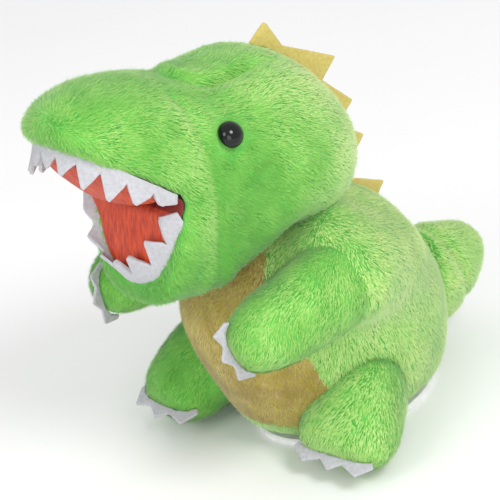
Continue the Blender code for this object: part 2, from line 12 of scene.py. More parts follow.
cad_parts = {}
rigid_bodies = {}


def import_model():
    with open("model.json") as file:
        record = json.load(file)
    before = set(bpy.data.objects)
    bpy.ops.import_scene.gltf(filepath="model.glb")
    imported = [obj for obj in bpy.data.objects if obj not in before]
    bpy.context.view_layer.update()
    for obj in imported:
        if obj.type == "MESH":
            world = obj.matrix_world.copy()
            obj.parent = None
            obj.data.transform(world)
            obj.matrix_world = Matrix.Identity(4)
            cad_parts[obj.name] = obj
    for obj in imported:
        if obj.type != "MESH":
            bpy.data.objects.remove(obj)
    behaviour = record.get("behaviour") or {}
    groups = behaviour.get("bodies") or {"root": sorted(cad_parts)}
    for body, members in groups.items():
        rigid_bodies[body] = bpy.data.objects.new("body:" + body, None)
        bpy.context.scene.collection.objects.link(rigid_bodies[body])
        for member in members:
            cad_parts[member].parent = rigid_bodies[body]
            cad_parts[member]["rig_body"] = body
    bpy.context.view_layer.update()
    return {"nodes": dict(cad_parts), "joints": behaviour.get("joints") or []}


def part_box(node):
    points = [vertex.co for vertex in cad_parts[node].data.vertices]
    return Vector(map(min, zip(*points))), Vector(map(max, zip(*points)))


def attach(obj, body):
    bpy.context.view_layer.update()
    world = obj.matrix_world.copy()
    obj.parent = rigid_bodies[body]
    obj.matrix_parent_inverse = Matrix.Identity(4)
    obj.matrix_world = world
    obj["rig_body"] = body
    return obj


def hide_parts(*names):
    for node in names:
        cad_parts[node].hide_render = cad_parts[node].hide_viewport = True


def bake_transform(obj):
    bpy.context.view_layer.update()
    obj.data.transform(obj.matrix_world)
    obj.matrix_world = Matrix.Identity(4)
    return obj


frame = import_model()

MM = 0.001
NODES = frame["nodes"]
PIVOT = {joint["child"]: Vector(joint["pos_m"]) for joint in frame["joints"]}
SIDES = ("left", "right")

VOXEL = 1.6 * MM            # grid of the remeshed skins
FUR_PER_MM2 = 4.4
FUR_LENGTH = 2.4 * MM
FUR_WIDTH = 0.22 * MM
NAP_LIFT = 20.0             # degrees that the strands stand off the cloth
NAP_SWIRL = 13 * MM         # size of the swirls that the nap lies in
NAP_PATCH = 11 * MM         # size of its lighter and darker patches
STRAY_SHARE = 0.05
MOST_STRANDS = 60_000       # in one piece of fur
FELT_THICK = 1.3 * MM
JOWL = np.array((19, -62, 82)) * MM   # where the left cheek hangs lowest
JOWL_RADIUS = 10 * MM
JOWL_SWELL = 4.5 * MM
CROWN_HALF_WIDTH = 12 * MM
BROW_Y = -49.5 * MM         # front of the crown's panel, before its round end
ROOT_REACH = 7 * MM         # how near the body a limb's end must be to be drawn into it
ROOT_DEPTH = 3 * MM         # and how far inside it then ends
EYE_RADIUS = 4.2 * MM
EYE_HEIGHT = 3.6 * MM

# Fur shades run from the shaded root side of the nap to its pale tips.
GREEN_SHADES = (
    (0.125, 0.42, 0.045), (0.165, 0.49, 0.060), (0.220, 0.55, 0.085),
    (0.285, 0.61, 0.115), (0.355, 0.66, 0.155), (0.430, 0.71, 0.195),
    (0.500, 0.75, 0.230), (0.565, 0.785, 0.250), (0.630, 0.82, 0.280),
)
BEIGE_SHADES = (
    (0.34, 0.25, 0.020), (0.42, 0.33, 0.035), (0.50, 0.42, 0.070), (0.58, 0.51, 0.125), (0.64, 0.59, 0.190)
)


# ---------------------------------------------------------------- meshes and numbers

def smoothstep(value, low, high):
    t = np.clip((value - low) / (high - low), 0, 1)
    return t * t * (3 - 2 * t)


def unit(vectors):
    return vectors / np.maximum(np.linalg.norm(vectors, axis=-1, keepdims=True), 1e-12)


def points_of(mesh):
    co = np.empty(len(mesh.vertices) * 3)
    mesh.vertices.foreach_get("co", co)
    return co.reshape(-1, 3)


def normals_of(mesh):
    normal = np.empty(len(mesh.vertices) * 3)
    mesh.vertex_normals.foreach_get("vector", normal)
    return normal.reshape(-1, 3)


def set_points(mesh, co):
    mesh.vertices.foreach_set("co", np.ascontiguousarray(co, np.float32).ravel())
    mesh.update()


def lumps(co, size, seed=0.0):
    """Smooth noise from -1 to 1 at each point, with features of about the given size."""
    return np.array([noise.noise(Vector(p) / size + Vector((seed, seed * 1.7, -seed))) for p in co])


def new_piece(name, mesh):
    obj = bpy.data.objects.new(name, mesh)
    bpy.context.scene.collection.objects.link(obj)
    return obj


def mesh_from(name, verts, faces):
    mesh = bpy.data.meshes.new(name)
    mesh.from_pydata([tuple(v) for v in verts], [], faces)
    mesh.update()
    return mesh


def evaluated(obj):
    graph = bpy.context.evaluated_depsgraph_get()
    return bpy.data.meshes.new_from_object(obj.evaluated_get(graph))


def tree_of(mesh):
    shape = bmesh.new()
    shape.from_mesh(mesh)
    tree = BVHTree.FromBMesh(shape)
    shape.free()
    return tree


def signed_distance(tree, co):
    """Distance of each point from the surface, negative inside, with the way out there."""
    distance, outward = np.empty(len(co)), np.empty((len(co), 3))
    for i, p in enumerate(co):
        place, normal, _, far = tree.find_nearest(Vector(p))
        distance[i] = far if (Vector(p) - place).dot(normal) >= 0 else -far
        outward[i] = normal
    return distance, outward


def inside(tree, co, low, high):
    """True where a point lies in a closed mesh with these bounds, by the surfaces above it."""
    found = np.zeros(len(co), bool)
    for i in np.flatnonzero(((co > low) & (co < high)).all(axis=1)):
        start, crossings = Vector(co[i]), 0
        while crossings < 12:
            place = tree.ray_cast(start, Vector((0.05, 0.03, 1)))[0]
            if place is None:
                break
            crossings += 1
            start = place + Vector((0, 0, 1e-6))
        found[i] = crossings % 2 == 1
    return found


def closed_shape(skin):
    co = points_of(skin.data)
    return tree_of(skin.data), co.min(axis=0), co.max(axis=0)


def largest_island(shape):
    """Keeps the piece of the mesh with the most vertices."""
    unseen, best = set(shape.verts), []
    while unseen:
        stack, island = [unseen.pop()], []
        while stack:
            vert = stack.pop()
            island.append(vert)
            for edge in vert.link_edges:
                other = edge.other_vert(vert)
                if other in unseen:
                    unseen.discard(other)
                    stack.append(other)
        best = max(best, island, key=len)
    keep = set(best)
    bmesh.ops.delete(shape, geom=[v for v in shape.verts if v not in keep], context="VERTS")


def relax(mesh, rounds, swell=0.0):
    """Evens out a mesh, then pushes it back out by what that took off its round parts."""
    edges = np.empty(len(mesh.edges) * 2, np.int32)
    mesh.edges.foreach_get("vertices", edges)
    edges = edges.reshape(-1, 2)
    co = points_of(mesh)
    degree = np.bincount(edges.ravel(), minlength=len(co))[:, None]
    for _ in range(rounds):
        total = np.zeros_like(co)
        for axis in range(3):
            total[:, axis] = np.bincount(edges[:, 0], co[edges[:, 1], axis], len(co))
            total[:, axis] += np.bincount(edges[:, 1], co[edges[:, 0], axis], len(co))
        co = 0.5 * co + 0.5 * total / degree
    set_points(mesh, co)
    set_points(mesh, co + normals_of(mesh) * swell)


def soft_union(name, parts, voxel=VOXEL, rounds=14, swell=0.2 * MM, balls=()):
    """One smooth skin round several CAD solids, each a node's name or (name, matrix), and balls."""
    shape = bmesh.new()
    for centre, radius in balls:
        bmesh.ops.create_icosphere(
            shape, subdivisions=4, radius=radius, matrix=Matrix.Translation(centre)
        )
    for part in parts:
        node, matrix = part if isinstance(part, tuple) else (part, Matrix.Identity(4))
        mesh = NODES[node].data.copy()
        mesh.transform(matrix)
        shape.from_mesh(mesh)
        bpy.data.meshes.remove(mesh)
    bmesh.ops.remove_doubles(shape, verts=shape.verts, dist=1e-5)
    mesh = bpy.data.meshes.new(name)
    shape.to_mesh(mesh)
    shape.free()
    obj = new_piece(name, mesh)
    remesh = obj.modifiers.new("Voxels", "REMESH")
    remesh.mode = "VOXEL"
    remesh.voxel_size = voxel
    mesh = evaluated(obj)
    obj.modifiers.clear()
    shape = bmesh.new()
    shape.from_mesh(mesh)
    largest_island(shape)
    bmesh.ops.recalc_face_normals(shape, faces=shape.faces)
    shape.to_mesh(mesh)
    shape.free()
    relax(mesh, rounds, swell)
    mesh.shade_smooth()
    obj.data = mesh
    mesh.materials.clear()
    return obj


# ---------------------------------------------------------------- materials

def shader_of(material):
    return material.node_tree.nodes["Principled BSDF"]


def new_material(name, **sockets):
    made = bpy.data.materials.new(name)
    made.use_nodes = True
    for socket, value in sockets.items():
        shader_of(made).inputs[socket.replace("_", " ")].default_value = value
    return made


def noise_node(material, scale, detail=3.0, stretch=None):
    nodes, links = material.node_tree.nodes, material.node_tree.links
    place = nodes.new("ShaderNodeTexCoord")
    texture = nodes.new("ShaderNodeTexNoise")
    texture.inputs["Scale"].default_value = scale
    texture.inputs["Detail"].default_value = detail
    if stretch:
        mapping = nodes.new("ShaderNodeMapping")
        mapping.inputs["Scale"].default_value = stretch
        links.new(place.outputs["Object"], mapping.inputs["Vector"])
        links.new(mapping.outputs["Vector"], texture.inputs["Vector"])
    else:
        links.new(place.outputs["Object"], texture.inputs["Vector"])
    return texture


def ramp_colour(material, source, low, high, start=0.35, end=0.65):
    """Drives the base colour from a value between two colours."""
    nodes, links = material.node_tree.nodes, material.node_tree.links
    ramp = nodes.new("ShaderNodeValToRGB")
    ramp.color_ramp.elements[0].position = start
    ramp.color_ramp.elements[0].color = (*low, 1)
    ramp.color_ramp.elements[1].position = end
    ramp.color_ramp.elements[1].color = (*high, 1)
    links.new(source.outputs["Fac"], ramp.inputs["Fac"])
    links.new(ramp.outputs["Color"], shader_of(material).inputs["Base Color"])


def add_bump(material, source, strength, distance):
    nodes, links = material.node_tree.nodes, material.node_tree.links
    bump = nodes.new("ShaderNodeBump")
    bump.inputs["Strength"].default_value = strength
    bump.inputs["Distance"].default_value = distance
    links.new(source.outputs["Fac"], bump.inputs["Height"])
    links.new(bump.outputs["Normal"], shader_of(material).inputs["Normal"])


def plush_backing(name, low, high):
    """The cloth that the pile grows from, seen between the strands."""
    made = new_material(name, Roughness=0.95, Sheen_Weight=0.3)
    ramp_colour(made, noise_node(made, 140), low, high)
    add_bump(made, noise_node(made, 1400, 2), 0.6, 0.0006)
    return made


def felt(name, low, high):
    """Pressed fibres: a fine tangle over faint cloudy shading."""
    made = new_material(name, Roughness=0.92, Sheen_Weight=0.25)
    ramp_colour(made, noise_node(made, 900, 6), low, high, 0.3, 0.7)
    add_bump(made, noise_node(made, 2600, 4), 0.7, 0.0004)
    return made


def satin(name, low, high):
    """Lining cloth: glossy threads that run one way, with soft folds."""
    made = new_material(name, Roughness=0.5, Anisotropic=0.5)
    ramp_colour(made, noise_node(made, 260, 3, (6, 1, 1)), low, high)
    add_bump(made, noise_node(made, 420, 4, (9, 1, 1)), 0.5, 0.0008)
    return made


def plastic(name, low, high, roughness, grain):
    made = new_material(name, Roughness=roughness, Specular_IOR_Level=0.35)
    ramp_colour(made, noise_node(made, grain), low, high)
    return made


def fur_materials(prefix, shades):
    return [
        new_material(f"{prefix}_{i}", Base_Color=(*shade, 1), Roughness=0.75, Sheen_Weight=0.25)
        for i, shade in enumerate(shades)
    ]


GREEN_BACKING = plush_backing("green_backing", (0.05, 0.32, 0.03), (0.14, 0.50, 0.07))
BEIGE_BACKING = plush_backing("beige_backing", (0.28, 0.19, 0.06), (0.45, 0.33, 0.12))
GREEN_FUR = fur_materials("green_pile", GREEN_SHADES)
BEIGE_FUR = fur_materials("beige_pile", BEIGE_SHADES)
WHITE_FELT = felt("white_felt", (0.39, 0.39, 0.415), (0.48, 0.48, 0.51))
YELLOW_FELT = felt("yellow_felt", (0.50, 0.40, 0.085), (0.60, 0.49, 0.135))
SATIN = satin("orange_satin", (0.36, 0.020, 0.004), (0.60, 0.064, 0.010))
# A darker copy of the satin for the mouth's deep fold and corners: painted shade.
SATIN_PAINTED_SHADE = satin("satin_painted_shade", (0.16, 0.008, 0.006), (0.36, 0.022, 0.010))
EYE_BLACK = plastic("eye_black", (0.003, 0.005, 0.004), (0.008, 0.011, 0.010), 0.05, 60)
PLATE_WHITE = plastic("plate_white", (0.72, 0.72, 0.72), (0.82, 0.82, 0.81), 0.4, 300)
BAG_CLOTH = felt("bag_cloth", (0.44, 0.44, 0.46), (0.60, 0.60, 0.62))
WASHER_WHITE = plastic("washer_white", (0.70, 0.70, 0.69), (0.82, 0.82, 0.80), 0.5, 500)


# ---------------------------------------------------------------- fur

def triangles_of(mesh):
    mesh.calc_loop_triangles()
    corners = np.empty(len(mesh.loop_triangles) * 3, np.int32)
    mesh.loop_triangles.foreach_get("vertices", corners)
    return corners.reshape(-1, 3)


def grow_fur(name, skin, comb, keep, materials, seed, tone, scale=1.0):
    """Mesh strands over a skin, lying along comb. keep gives their length at points, tone their shade."""
    rng = np.random.default_rng(seed)
    co, normal = points_of(skin.data), normals_of(skin.data)
    tris = triangles_of(skin.data)
    corner = co[tris]
    area = np.linalg.norm(np.cross(corner[:, 1] - corner[:, 0], corner[:, 2] - corner[:, 0]), axis=1) / 2
    length_at = keep(co)
    wanted = area * 1e6 * FUR_PER_MM2 * (length_at[tris].mean(axis=1) > 0.02)
    owner = np.repeat(np.arange(len(tris)), rng.poisson(wanted))
    a, b = rng.random(len(owner)), rng.random(len(owner))
    flip = a + b > 1
    a[flip], b[flip] = 1 - a[flip], 1 - b[flip]
    share = np.stack([1 - a - b, a, b], axis=1)[:, :, None]
    picked = tris[owner]
    root = (co[picked] * share).sum(axis=1)
    up = unit((normal[picked] * share).sum(axis=1))
    long_here = (length_at[picked] * share[:, :, 0]).sum(axis=1)

    swirl = np.stack([lumps(root, NAP_SWIRL, part) for part in (3.1, 7.7, 12.9)], axis=1)
    lie = np.array(comb) + 0.6 * swirl + rng.normal(0, 0.13, root.shape)
    lie = unit(lie - up * (lie * up).sum(axis=1, keepdims=True))
    lift = np.radians(rng.normal(NAP_LIFT, 7, len(root)))
    stray = rng.random(len(root)) < STRAY_SHARE
    lift[stray] += math.radians(25)
    along = unit(lie * np.cos(lift)[:, None] + up * np.sin(lift)[:, None])
    long = FUR_LENGTH * scale * long_here * rng.uniform(0.7, 1.15, len(root))
    width = FUR_WIDTH * rng.uniform(0.75, 1.2, len(root)) * np.where(stray, 0.5, 1)
    across = unit(np.cross(along, up))
    bend = unit(along - 0.25 * up)

    half = across * (width / 2)[:, None]
    base = root - up * 0.3 * MM
    middle = root + along * (long * 0.5)[:, None]
    tip = middle + bend * (long * 0.5)[:, None]
    verts = np.stack([base - half, base + half, middle + 0.8 * half, middle - 0.8 * half, tip], axis=1)

    patches = lumps(root, NAP_PATCH, 21.3) + 0.6 * lumps(root, NAP_PATCH * 0.4, 5.9)
    shade = 0.27 * len(materials) + patches * 1.6 + rng.normal(0, 0.36, len(root))
    shade = shade + tone(root)
    shade = np.clip(np.rint(shade), 0, len(materials) - 1).astype(np.int32)
    tilt = unit(up + rng.normal(0, 0.13, up.shape) + 0.12 * along)
    pieces = max(1, math.ceil(len(root) / MOST_STRANDS))
    order = rng.permutation(len(root))
    return [
        strands_piece(f"{name}_{i + 1}", verts[pick], shade[pick], tilt[pick], materials)
        for i, pick in enumerate(np.array_split(order, pieces))
    ]


def strands_piece(name, verts, shade, tilt, materials):
    """One mesh of strands, each a quad and a triangle, lit as the skin under them is."""
    index = np.arange(len(verts))[:, None] * 5
    faces = np.concatenate([index + [0, 1, 2], index + [0, 2, 3], index + [3, 2, 4]], axis=1)
    faces = faces.reshape(-1, 3)
    mesh = bpy.data.meshes.new(name)
    mesh.vertices.add(len(verts) * 5)
    mesh.vertices.foreach_set("co", verts.astype(np.float32).ravel())
    mesh.loops.add(faces.size)
    mesh.loops.foreach_set("vertex_index", faces.astype(np.int32).ravel())
    mesh.polygons.add(len(faces))
    mesh.polygons.foreach_set("loop_start", np.arange(0, faces.size, 3, dtype=np.int32))
    mesh.polygons.foreach_set("loop_total", np.full(len(faces), 3, np.int32))
    for material in materials:
        mesh.materials.append(material)
    mesh.polygons.foreach_set("material_index", np.repeat(shade, 3))
    mesh.update(calc_edges=True)
    mesh.shade_smooth()
    mesh.normals_split_custom_set_from_vertices(np.repeat(tilt, 5, axis=0).tolist())
    return new_piece(name, mesh)


# ---------------------------------------------------------------- the mouth's frame

def heading(degrees):
    """The direction at this angle above level, where 0 looks forwards."""
    angle = math.radians(degrees)
    return Vector((0, -math.cos(angle), math.sin(angle)))


HINGE = PIVOT["jaw"]
PALATE_SLOPE = 41.0
JAW_SLOPE = -79.0
CORNER = HINGE + heading(25) * 4 * MM
LIP_HALF_WIDTH = 24 * MM
PALATE_LENGTH = 35 * MM
JAW_LENGTH = 31 * MM
PALATE_BULGE = 9 * MM     # the linings are stuffed too, and swell into the mouth
FLOOR_BULGE = 3.0 * MM
LINING_DISH = 3 * MM      # room under the linings, so that the skin never shows through
JAW_NARROWING = 0.17      # of the lower jaw's right side


def lip_half_width(slope, reach, sideways):
    """Half the mouth's width: the lower lip draws in below the corners, more on the right."""
    if slope > 0:
        return np.full_like(reach, LIP_HALF_WIDTH, dtype=float)
    drawn = np.where(sideways < 0, 7 * MM, 2 * MM)
    return LIP_HALF_WIDTH - drawn * np.minimum(1, 2.2 * reach)


def lip_point(slope, length, turn, depth=0.0, scale=1.0):
    """A point of a lip's oval, turn radians round from its front, moved into the mouth."""
    along, upward = heading(slope), heading(slope + 90)
    inward = -upward if slope > 0 else upward
    half = float(lip_half_width(slope, math.cos(turn), math.sin(turn)))
    side = Vector((half * scale * math.sin(turn), 0, 0))
    return CORNER + side + along * (length * scale * math.cos(turn)) + inward * depth


def lip_place(co, slope, length):
    """How far out a point is in a lip's oval (1 at the rim), and its height off the lip's plane."""
    along = np.array(heading(slope))
    upward = np.array(heading(slope + 90))
    rel = co - np.array(CORNER)
    reach = rel @ along / length
    height = rel @ upward
    half = lip_half_width(slope, np.clip(reach, 0, 1), rel[:, 0])
    r = np.sqrt((rel[:, 0] / half) ** 2 + np.maximum(reach, 0) ** 2)
    return r, reach, height


def in_mouth(co):
    """1 where a point of the skin lies under the mouth's lining, 0 elsewhere."""
    lined = np.zeros(len(co))
    for slope, length, rim in ((PALATE_SLOPE, PALATE_LENGTH, 1.0), (JAW_SLOPE, JAW_LENGTH, 1.05)):
        r, reach, height = lip_place(co, slope, length)
        near = (np.abs(height) < 2.6 * MM) & (reach > -0.12)
        lined = np.maximum(lined, near * smoothstep(rim - r, 0.0, 0.06))
    return lined


# ---------------------------------------------------------------- skins

def seam_groove(co, normal, point, across, width, depth, mask=None):
    """Pulls the skin in along the plane through a point, as a seam does."""
    off = (co - np.array(point)) @ np.array(Vector(across).normalized())
    pull = np.exp(-((off / width) ** 2)) * depth
    if mask is not None:
        pull = pull * mask
    return co - normal * pull[:, None]


def make_head_skin():
    opened = [Matrix.Translation(HINGE) @ Matrix.Rotation(math.radians(a), 4, "X")
              @ Matrix.Translation(-HINGE) for a in (2.5, 5.0)]
    parts = ["head_skin", "head_stuffing", "jaw_skin", "jaw_stuffing", "palate_lining", "mouth_lining"]
    parts += [(node, matrix) for matrix in opened for node in ("jaw_skin", "jaw_stuffing")]
    skin = soft_union("head_plush", parts, rounds=16)
    co = points_of(skin.data)
    # The right side of the lower jaw is narrower than the left.
    rel = co - np.array(HINGE)
    low_jaw = smoothstep(rel @ np.array(heading(JAW_SLOPE)), 0, 14 * MM)
    low_jaw *= smoothstep(rel @ np.array(heading(JAW_SLOPE + 90)), -26 * MM, -6 * MM)
    co[:, 0] *= 1 - JAW_NARROWING * low_jaw * (co[:, 0] < 0)
    set_points(skin.data, co)
    normal = normals_of(skin.data)
    mouth = in_mouth(co)
    for slope, length, side in ((PALATE_SLOPE, PALATE_LENGTH, 1), (JAW_SLOPE, JAW_LENGTH, -1)):
        r, _, _ = lip_place(co, slope, length)
        dish = mouth * np.clip(1 - r * r, 0, 1) ** 0.5 * LINING_DISH
        co = co + np.array(heading(slope + 90)) * (side * dish)[:, None]
    # The cheeks hang lowest beside the throat.
    left = np.stack([np.abs(co[:, 0]), co[:, 1], co[:, 2]], axis=1)
    jowl = np.linalg.norm(left - JOWL, axis=1)
    proud = crown_swell(co) + JOWL_SWELL * np.exp(-((jowl / JOWL_RADIUS) ** 2))
    co = co + normal * (proud * (1 - mouth))[:, None]
    set_points(skin.data, co)
    co, normal = points_of(skin.data), normals_of(skin.data)
    # The seam before the eye, down to the mouth's corner, and a fold low on the cheek.
    beside_crown = smoothstep(np.abs(co[:, 0]), 0.012, 0.016) * (1 - mouth)
    co = seam_groove(co, normal, (0, -0.0685, 0.128), (0, 1, 0.05), 1.7 * MM, 1.0 * MM, beside_crown)
    cheek = smoothstep(0.112 - co[:, 2], 0, 0.006) * smoothstep(co[:, 2], 0.086, 0.093)
    co = seam_groove(co, normal, (0, -0.058, 0.0995), (0, 0.9, 0.43), 1.4 * MM, 0.8 * MM, cheek)
    co = co + normal * (0.45 * MM * lumps(co, 14 * MM, 4.4) * (1 - mouth))[:, None]
    set_points(skin.data, co)
    skin.data.materials.append(GREEN_BACKING)
    return skin


def crown_edge(co):
    """Metres inside the edge of the panel that runs back over the crown from the brow."""
    x, y = co[:, 0], co[:, 1]
    return CROWN_HALF_WIDTH - np.hypot(x - 1 * MM, 1.05 * np.maximum(BROW_Y - y, 0))


def crown_swell(co):
    """The crown's panel stands proud of the head, most at the brow, with a crease round it."""
    edge = crown_edge(co)
    on_top = smoothstep(co[:, 2], 0.126, 0.134)
    brow = 1 - smoothstep(co[:, 1], -0.050, -0.020)
    proud = smoothstep(edge, 0, 3.5 * MM) * (0.2 * MM + 1.6 * MM * brow)
    crease = np.exp(-((edge / (1.5 * MM)) ** 2)) * (0.4 * MM + 1.3 * MM * brow)
    return on_top * (proud - crease)


def make_body_skin():
    balls = []
    for side in (1, -1):
        for x, y, z, radius in (
            (22, -21, 75, 15), (29, -24, 71.5, 16), (36, -26, 69.5, 15.4), (31, -17, 66, 16.5),
            (25, -9, 63, 17.5), (19, 0, 58, 19),
        ):
            balls.append((Vector((x * side, y, z)) * MM, radius * MM))
    balls.append((Vector((0, 31, 29)) * MM, 17 * MM))
    parts = ["body_skin", "belly_panel", "body_stuffing", "weight_bag"]
    skin = soft_union("body_plush", parts, rounds=60, swell=0.9 * MM, balls=balls)
    co, normal = points_of(skin.data), normals_of(skin.data)
    co = co + normal * (0.5 * MM * lumps(co, 16 * MM, 9.2))[:, None]
    set_points(skin.data, co)
    skin.data.materials.append(GREEN_BACKING)
    skin.data.materials.append(BEIGE_BACKING)
    return skin


def sink_root(skin, body_tree):
    """Stretches the end of a limb that faces the body until it lies inside it."""
    co, normal = points_of(skin.data), normals_of(skin.data)
    distance, outward = signed_distance(body_tree, co)
    facing = smoothstep(-(normal * outward).sum(axis=1), 0.15, 0.5)
    near = 1 - smoothstep(distance, 0.7 * ROOT_REACH, ROOT_REACH)
    push = facing * near * (distance + ROOT_DEPTH)
    set_points(skin.data, co - outward * push[:, None])


def make_limb_skin(name, parts, body_tree):
    skin = soft_union(name, parts, voxel=1.3 * MM, rounds=14)
    sink_root(skin, body_tree)
    co, normal = points_of(skin.data), normals_of(skin.data)
    if name.startswith("tail"):
        co = seam_groove(co, normal, (0, 0.0465, 0.0445), (0, 1, 0.28), 2.2 * MM, 1.6 * MM)
    co = co + normal * (0.35 * MM * lumps(co, 10 * MM, len(name) * 1.3))[:, None]
    set_points(skin.data, co)
    skin.data.materials.append(GREEN_BACKING)
    return skin


# ---------------------------------------------------------------- the beige belly

BELLY_HEIGHTS = np.array([12.8, 17, 27, 42, 56, 67, 76, 92]) * MM
BELLY_HALF_WIDTHS = np.array([20, 26, 29, 29, 25, 20.5, 16.5, 8]) * MM


def belly_amount(co):
    """1 on the beige panel, 0 on green."""
    x, y, z = co[:, 0], co[:, 1], co[:, 2]
    half = np.interp(z, BELLY_HEIGHTS, BELLY_HALF_WIDTHS)
    side = smoothstep(half - np.abs(x), 0, 0.4 * MM)
    above = smoothstep(z - BELLY_HEIGHTS[0], 0, 0.4 * MM)
    front = smoothstep(-y, 0.008, 0.009)
    return side * above * front


def paint_belly(skin):
    mesh = skin.data
    centre = np.empty(len(mesh.polygons) * 3)
    mesh.polygons.foreach_get("center", centre)
    beige = belly_amount(centre.reshape(-1, 3)) > 0.5
    mesh.polygons.foreach_set("material_index", beige.astype(np.int32))


# ---------------------------------------------------------------- felt

def felt_strip(name, roots, fall, out, heights):
    """A felt strip with a cut edge: it hangs from its roots by the heights along the fall."""
    roots, fall, out = np.array(roots), unit(np.array(fall)), unit(np.array(out))
    out = unit(out - fall * (out * fall).sum(axis=1, keepdims=True))
    count, rows = len(roots), 4
    verts = []
    for side in (0.5, -0.5):
        for row in range(rows + 1):
            drop = np.array(heights)[:, None] * (row / rows)
            verts.append(roots + fall * drop + out * (side * FELT_THICK))
    grid = rows + 1
    verts = np.concatenate(verts)
    faces = []
    for side in range(2):
        start = side * grid * count
        for row in range(rows):
            for i in range(count - 1):
                a = start + row * count + i
                quad = (a, a + 1, a + 1 + count, a + count)
                faces.append(quad if side else quad[::-1])
    back = grid * count
    for row, turn in ((0, 1), (rows, 0)):
        for i in range(count - 1):
            a = row * count + i
            quad = (a, a + 1, a + 1 + back, a + back)
            faces.append(quad if turn else quad[::-1])
    for i, turn in ((0, 0), (count - 1, 1)):
        for row in range(rows):
            a = row * count + i
            quad = (a, a + count, a + count + back, a + back)
            faces.append(quad if turn else quad[::-1])
    mesh = mesh_from(name, verts, faces)
    shape = bmesh.new()
    shape.from_mesh(mesh)
    bmesh.ops.recalc_face_normals(shape, faces=shape.faces)
    shape.to_mesh(mesh)
    shape.free()
    obj = new_piece(name, mesh)
    bevel = obj.modifiers.new("Soft edges", "BEVEL")
    bevel.width = 0.28 * MM
    bevel.segments = 2
    bevel.limit_method = "ANGLE"
    bevel.angle_limit = math.radians(50)
    mesh = evaluated(obj)
    obj.modifiers.clear()
    obj.data = mesh
    co, normal = points_of(mesh), normals_of(mesh)
    co = co + normal * (0.16 * MM * lumps(co, 1.6 * MM, 2.2))[:, None]
    co = co + normal * (0.35 * MM * lumps(co, 7 * MM, 8.2))[:, None]
    set_points(mesh, co)
    mesh.shade_smooth()
    mesh.materials.append(WHITE_FELT)
    return obj


def lip_teeth(name, slope, length, side, spread, teeth, fall_of):
    """Felt teeth round a lip. teeth gives each one's height and the band's, from right to left."""
    columns, places, heights = 8, [], []
    for index, (band, tall) in enumerate(teeth):
        peak = 0.5 + 0.2 * np.sign(len(teeth) - 2 * index - 1)   # the points lean to the front
        for column in range(columns):
            t = column / columns
            places.append((index + t) / len(teeth))
            rise = min(t / peak, (1 - t) / (1 - peak), 0.94)
            heights.append((band + (tall - band) * rise) * MM)
    places.append(1.0)
    heights.append(teeth[-1][0] * MM)
    roots, fall, out = [], [], []
    for place in places:
        turn = math.radians(spread) * (2 * place - 1)
        rim = lip_point(slope, length, turn)
        ahead = lip_point(slope, length, turn + 0.01)
        along_rim = (ahead - rim).normalized()
        outward = along_rim.cross(heading(slope + 90))
        if outward.dot(rim - lip_point(slope, length, turn, scale=0.9)) < 0:
            outward.negate()
        roots.append(rim - heading(slope + 90) * (1.0 * MM * side) + outward * 0.6 * MM)
        fall.append(fall_of(turn))
        out.append(outward)
    return felt_strip(name, roots, fall, out, heights)


def make_teeth():
    def upper_fall(turn):
        return Vector((0.18 * math.sin(turn), -0.34, -0.92))

    def lower_fall(turn):
        near = Vector((-0.30, -0.22, 0.90)) * max(math.sin(turn), 0)
        far = Vector((-1.0, -0.45, 0.10)) * max(-math.sin(turn), 0)
        return near + far + Vector((-0.32, -0.36, 0.85)) * math.cos(turn)

    side = [(2.6, 5.5), (3.2, 9.0), (3.4, 11.5), (3.4, 11.0)]
    front = [(3.4, 9.0), (3.4, 8.5), (3.4, 9.0)]
    upper = lip_teeth("upper_teeth_felt", PALATE_SLOPE, PALATE_LENGTH, -1, 84,
                      side + front + side[::-1], upper_fall)
    sizes = [(2.4, 6.0), (3.2, 8.0), (3.6, 8.5), (4.0, 9.5), (4.2, 11.5), (4.2, 12.0), (3.6, 10.5)]
    lower = lip_teeth("lower_teeth_felt", JAW_SLOPE, JAW_LENGTH, 1, 78, sizes, lower_fall)
    for piece, node in ((upper, "upper_teeth"), (lower, "lower_teeth")):
        blend_mouth(piece)
        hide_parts(node)


def blend_mouth(piece):
    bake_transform(piece)


